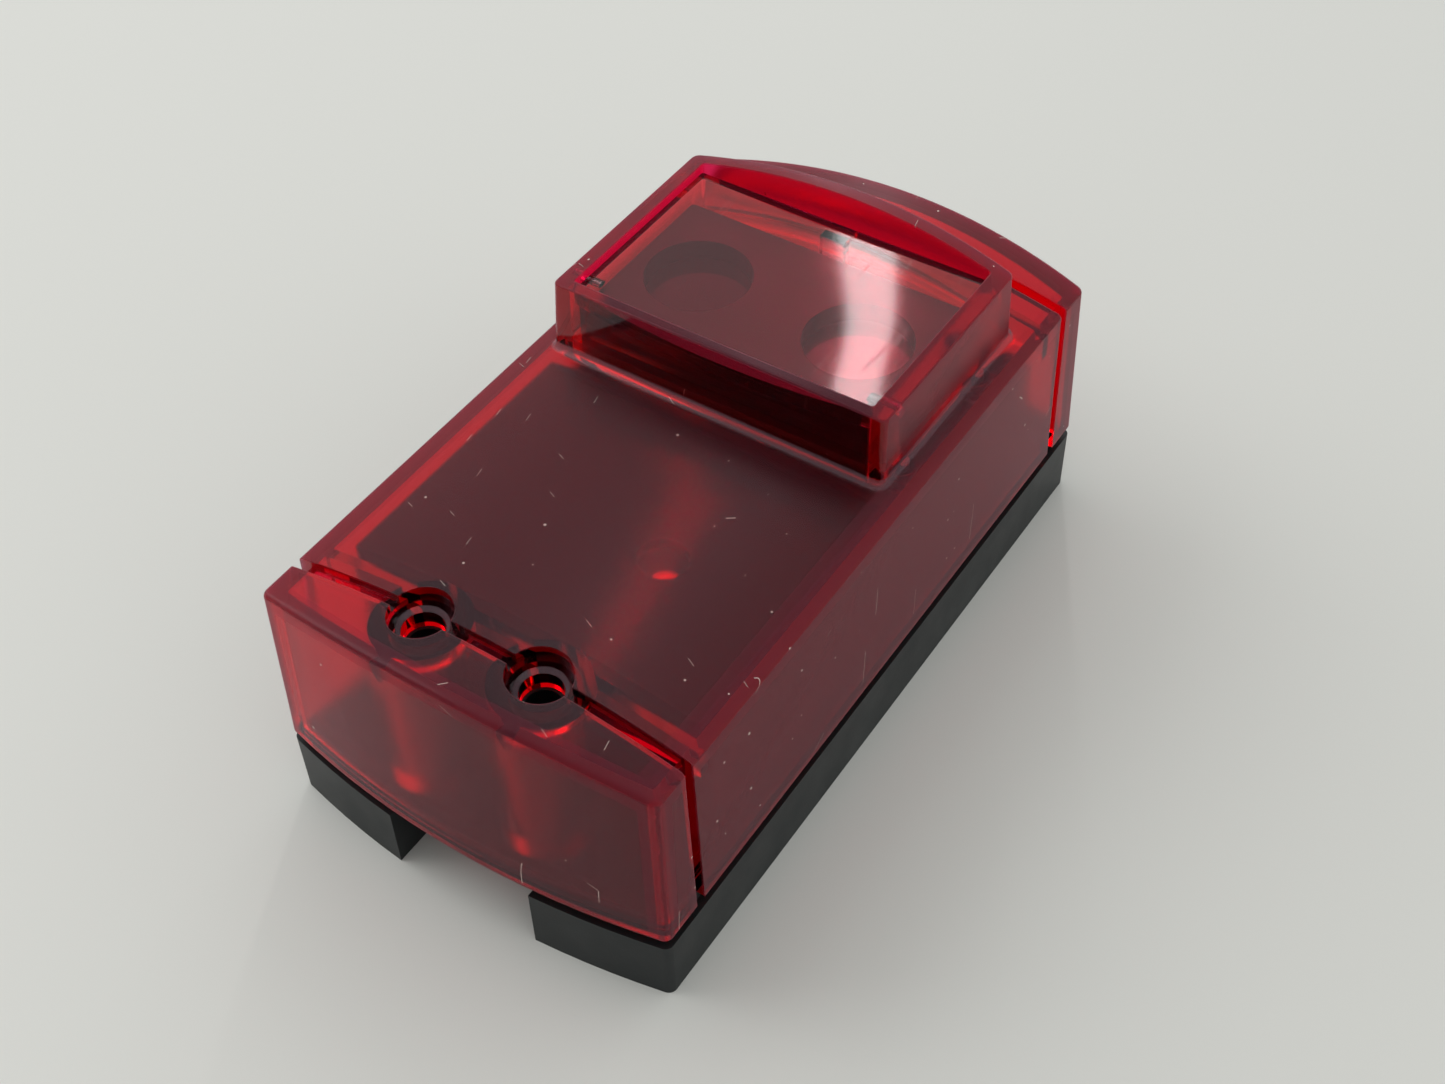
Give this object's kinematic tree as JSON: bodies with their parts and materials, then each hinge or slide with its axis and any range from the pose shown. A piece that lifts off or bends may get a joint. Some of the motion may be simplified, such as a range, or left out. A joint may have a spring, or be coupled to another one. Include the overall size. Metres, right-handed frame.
{
  "type": "manual call point",
  "caption": "Surface-mounted manual call point: black base, translucent ruby cover with a raised window hood, and a tilting press pane over a switch.",
  "frame": {"origin": "middle of the underside, on the surface the base is fixed to", "axes": "+X across the case, +Y along the case towards the hood end, +Z away from the wall"},
  "size_m": [0.064, 0.1204, 0.0555],
  "materials": {
    "base": "moulded ABS, fine satin texture",
    "gasket": "moulded",
    "cover": "translucent, spark-eroded outside, polished in the grooves and on the hood front",
    "press_pane": "polished clear ruby",
    "steel": "bright zinc",
    "well_plate": "moulded",
    "well_lens": "polished",
    "shroud": "moulded ABS",
    "board": "solder mask over glass laminate",
    "bracket": "moulded nylon",
    "switch_case": "moulded",
    "switch_button": "moulded acetal",
    "spring_steel": "drawn wire",
    "tinned_copper": "tinned",
    "terminal_block": "moulded polyamide",
    "terminal_brass": "nickel over brass",
    "relay": "moulded",
    "capacitor": "sleeved",
    "chip": "moulded epoxy",
    "spacer": "moulded",
    "lamp": "cast epoxy",
    "resistor": "dipped lacquer"
  },
  "bodies": {
    "housing": {"base": "base", "gasket": "gasket", "cover": "cover", "well_plate": "well_plate", "well_lenses": "well_lens", "plate_screws": "steel", "shroud": "shroud", "circuit_board": "board", "board_screws": "steel", "switch_bracket": "bracket", "bracket_screws": "steel", "microswitch_body": "switch_case", "lever_pin": "steel", "microswitch_pins": "tinned_copper", "return_spring_left": "spring_steel", "return_spring_right": "spring_steel", "terminal_block": "terminal_block", "terminal_clamps": "terminal_brass", "terminal_screws": "steel", "relay": "relay", "capacitor": "capacitor", "driver_chip": "chip", "led_spacer": "spacer", "status_led": "lamp", "line_resistor": "resistor"},
    "pane": {"press_pane": "press_pane", "pivot_pins": "steel"},
    "lever": {"microswitch_lever": "spring_steel"},
    "button": {"microswitch_button": "switch_button"}
  },
  "joints": [
    {"name": "pane_tilt", "type": "hinge", "parent": "housing", "child": "pane", "pos_m": [0, 0.008, 0.0508], "axis": [-1, 0, 0], "range_deg": [0, 4.5], "stiffness_Nm_per_rad": 0.6, "springref_deg": -2.86, "deforming": ["return_spring_left", "return_spring_right"]},
    {"name": "lever_swing", "type": "hinge", "parent": "housing", "child": "lever", "pos_m": [0, 0.027, 0.0349], "axis": [-1, 0, 0], "range_deg": [0, 13.2]},
    {"name": "button_slide", "type": "slide", "parent": "housing", "child": "button", "axis": [0, 0, -1], "range_m": [0, 0.0007]}
  ],
  "couplings": [
    {"joint": "lever_swing", "follows": "pane_tilt", "ratio": 2.87},
    {"joint": "button_slide", "follows": "pane_tilt", "m_per_rad": 0.00865}
  ]
}
